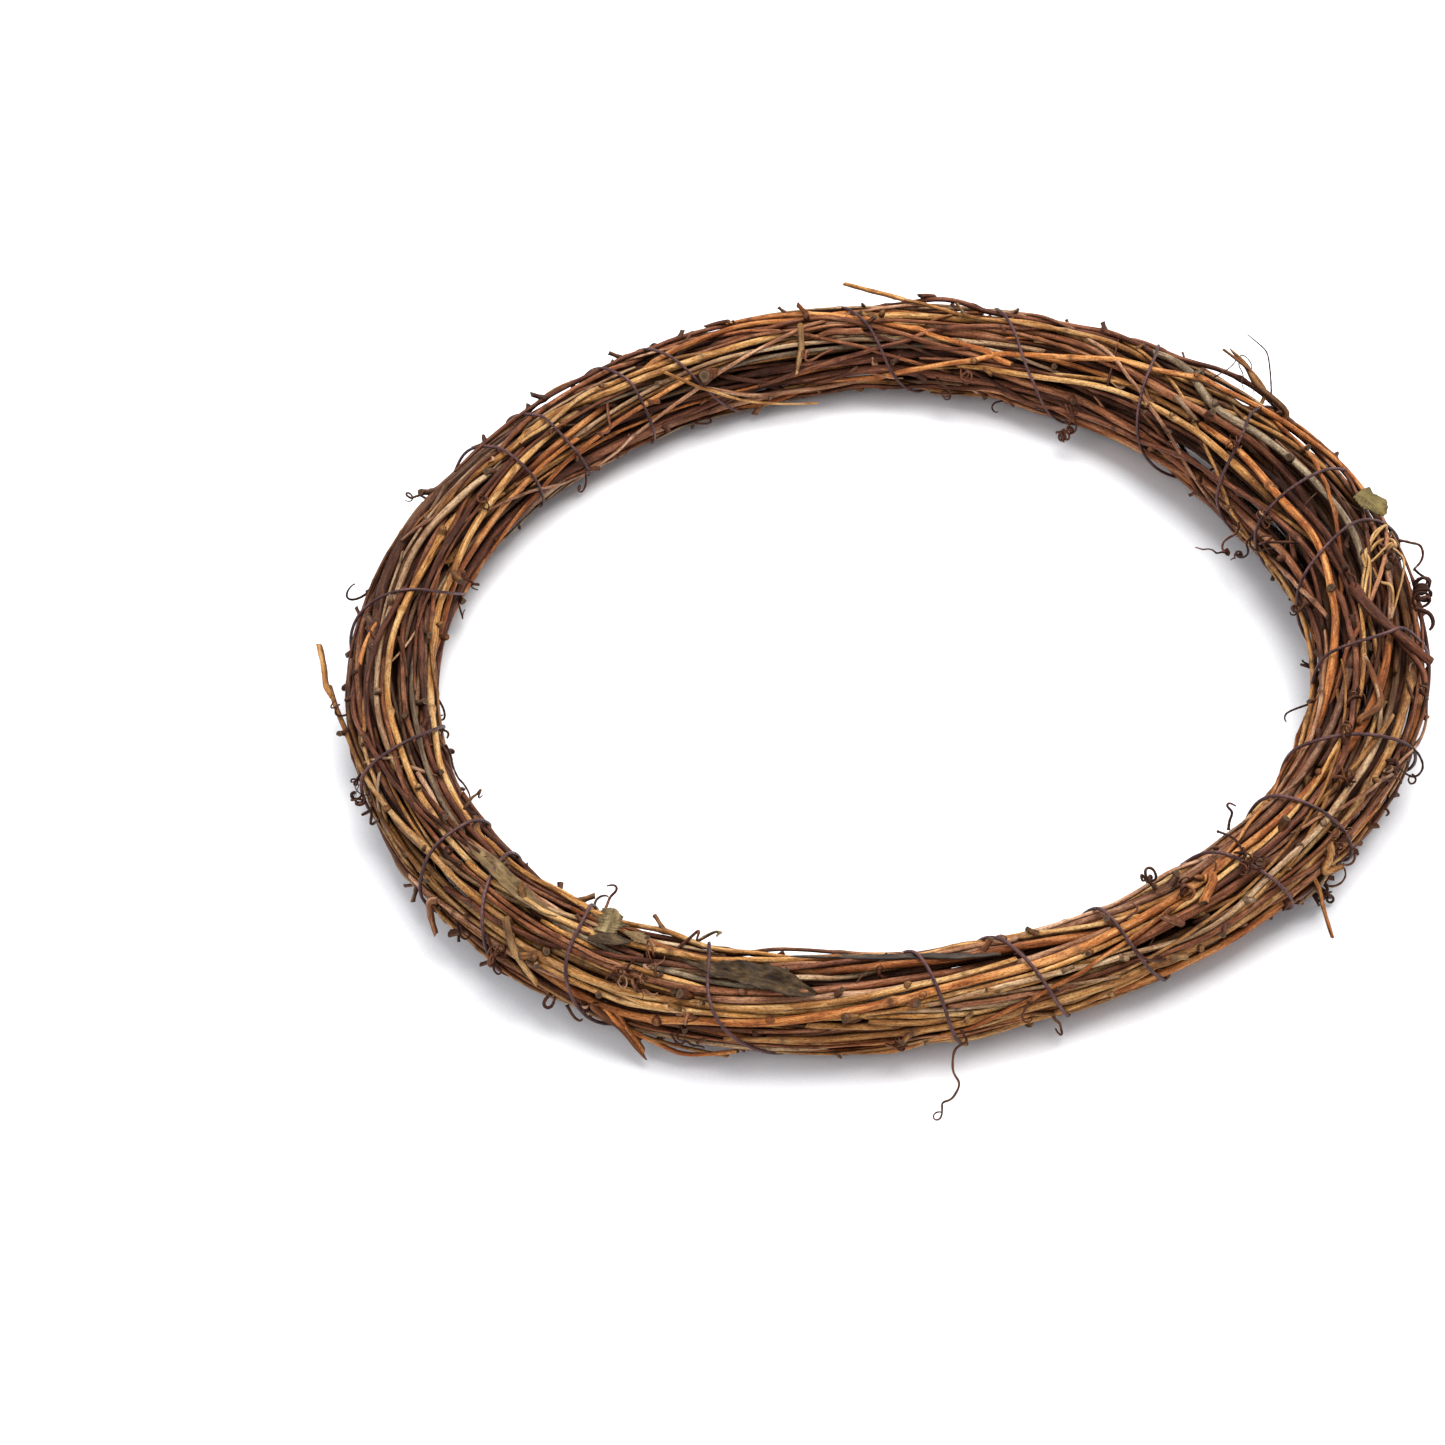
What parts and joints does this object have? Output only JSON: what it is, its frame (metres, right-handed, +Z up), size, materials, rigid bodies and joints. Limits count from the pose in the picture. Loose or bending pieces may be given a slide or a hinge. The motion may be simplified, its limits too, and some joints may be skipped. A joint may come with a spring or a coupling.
{
  "type": "grapevine wreath",
  "caption": "Round wreath of bare twisted grapevine canes, bound with thin dark wire, with dry curling tendrils, cut ends and a few dry leaves. Lies flat.",
  "frame": {"origin": "middle of the wreath's outline on the surface it lies on", "axes": "+X across the wreath to the picture's right, +Y away from the viewer, +Z up, out of the wreath's face"},
  "size_m": [0.4202, 0.4176, 0.0527],
  "materials": {
    "bark_strip": "rough, matt, dark",
    "binding_wire": "dull purple-brown wrapped wire",
    "cane_dark": "dry vine bark, satin to matt",
    "cane_golden": "dry vine bark, satin to matt",
    "cane_grey": "dry vine bark, satin to matt",
    "cane_orange": "dry vine bark, satin to matt",
    "cane_pale": "dry vine bark, satin to matt",
    "cane_red": "dry vine bark, satin to matt",
    "cane_tan": "dry vine bark, satin to matt",
    "dry_leaf": "dry, matt, creased",
    "straw": "dry, slightly shiny"
  },
  "bodies": {
    "root": {"cane_01": "cane_grey", "cane_02": "cane_orange", "cane_03": "cane_orange", "cane_04": "cane_golden", "cane_05": "cane_red", "cane_06": "cane_pale", "cane_07": "cane_golden", "cane_08": "cane_golden", "cane_09": "cane_golden", "cane_10": "cane_orange", "cane_11": "cane_golden", "cane_12": "cane_red", "cane_13": "cane_red", "cane_14": "cane_golden", "cane_15": "cane_red", "cane_16": "cane_red", "cane_17": "cane_tan", "cane_18": "cane_orange", "cane_19": "cane_pale", "cane_20": "cane_tan", "cane_21": "cane_orange", "cane_22": "cane_tan", "cane_23": "cane_golden", "cane_24": "cane_golden", "cane_25": "cane_tan", "cane_26": "cane_dark", "cane_27": "cane_pale", "cane_28": "cane_golden", "cane_29": "cane_dark", "cane_30": "cane_tan", "cane_31": "cane_red", "cane_32": "cane_orange", "cane_33": "cane_tan", "cane_34": "cane_orange", "cane_35": "cane_red", "cane_36": "cane_golden", "cane_37": "cane_dark", "cane_38": "cane_tan", "cane_39": "cane_red", "cane_40": "cane_orange", "cane_41": "cane_tan", "cane_42": "cane_orange", "cane_43": "cane_red", "cane_44": "cane_golden", "cane_45": "cane_dark", "cane_46": "cane_tan", "cane_47": "cane_red", "cane_48": "cane_orange", "binding_wire": "binding_wire", "dry_leaf_long": "dry_leaf", "dry_leaf_upright": "dry_leaf", "dry_leaf_dark": "dry_leaf", "dry_leaf_small": "dry_leaf", "bark_strip": "bark_strip", "straw_tuft": "straw"}
  },
  "joints": []
}
